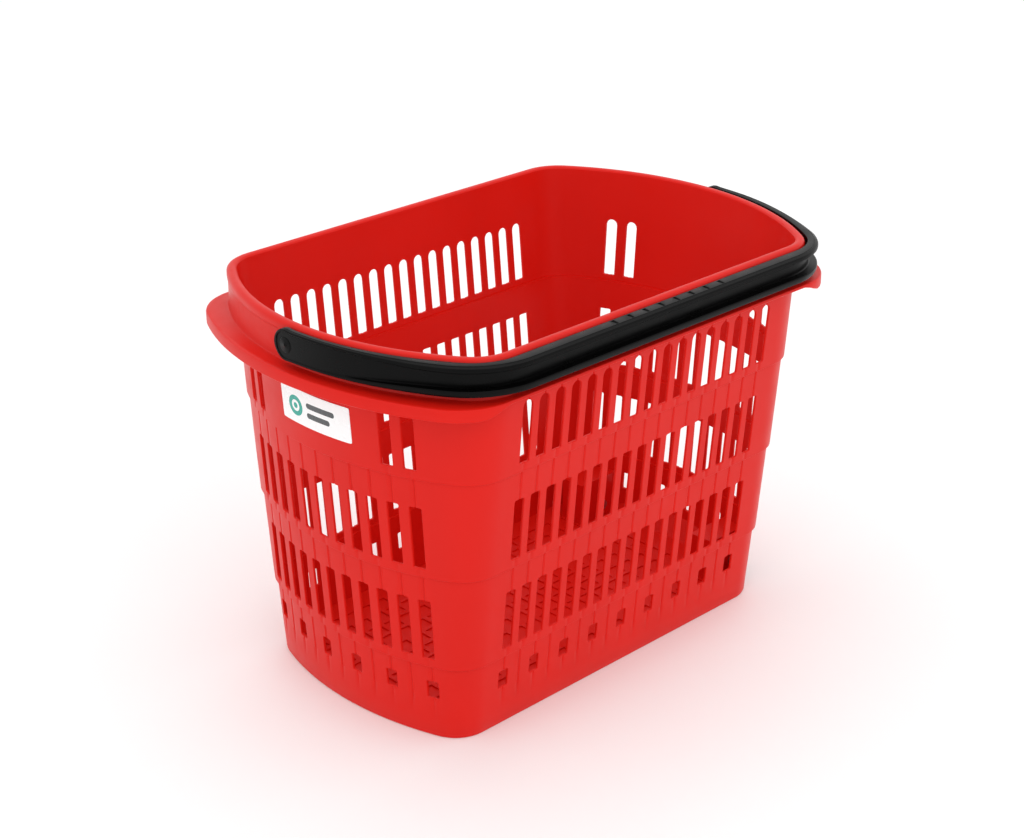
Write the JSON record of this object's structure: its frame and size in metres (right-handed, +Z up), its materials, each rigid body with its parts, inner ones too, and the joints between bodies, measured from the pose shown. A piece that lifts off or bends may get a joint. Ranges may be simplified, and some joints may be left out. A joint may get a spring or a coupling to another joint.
{
  "type": "rolling shopping basket",
  "caption": "Tall tapered slotted plastic shopping basket with a swinging carry bail and small transport wheels recessed under its rear end.",
  "frame": {"origin": "on the floor, under the middle of the basket's bounding box", "axes": "+Z up, X along the basket's length with the wheels at +X and the label at -X, Y across its width with the parked bail at -Y"},
  "size_m": [0.5558, 0.3651, 0.375],
  "materials": {
    "red_shell": "semi-gloss moulded",
    "black_bail": "satin moulded",
    "pin_plastic": "satin",
    "bush_plastic": "natural",
    "washer_plastic": "natural",
    "spring_steel": "bright",
    "label": "printed film",
    "wheel_tread": "matte",
    "wheel_core": "moulded",
    "axle_steel": "drawn"
  },
  "bodies": {
    "basket": {"basket_body": "red_shell", "front_label": "label", "pivot_pin_front": "pin_plastic", "pivot_washer_front": "washer_plastic", "pivot_clip_front": "spring_steel", "pivot_pin_rear": "pin_plastic", "pivot_washer_rear": "washer_plastic", "pivot_clip_rear": "spring_steel", "axle_left": "axle_steel", "axle_cap_left": "spring_steel", "axle_right": "axle_steel", "axle_cap_right": "spring_steel", "spacer_inner_left": "washer_plastic", "spacer_outer_left": "washer_plastic", "spacer_inner_right": "washer_plastic", "spacer_outer_right": "washer_plastic"},
    "bail": {"bail_handle": "black_bail", "pivot_bush_front": "bush_plastic", "pivot_bush_rear": "bush_plastic"},
    "wheel_left": {"wheel_hub_left": "wheel_core", "tyre_left": "wheel_tread", "wheel_bush_left": "bush_plastic"},
    "wheel_right": {"wheel_hub_right": "wheel_core", "tyre_right": "wheel_tread", "wheel_bush_right": "bush_plastic"}
  },
  "joints": [
    {"name": "bail_swing", "type": "hinge", "parent": "basket", "child": "bail", "pos_m": [0, 0, 0.36], "axis": [-1, 0, 0], "range_deg": [0, 180]},
    {"name": "wheel_left_spin", "type": "hinge", "parent": "basket", "child": "wheel_left", "pos_m": [0.194, 0.088, 0.025], "axis": [0, 1, 0], "continuous": true},
    {"name": "wheel_right_spin", "type": "hinge", "parent": "basket", "child": "wheel_right", "pos_m": [0.194, -0.088, 0.025], "axis": [0, 1, 0], "continuous": true}
  ]
}
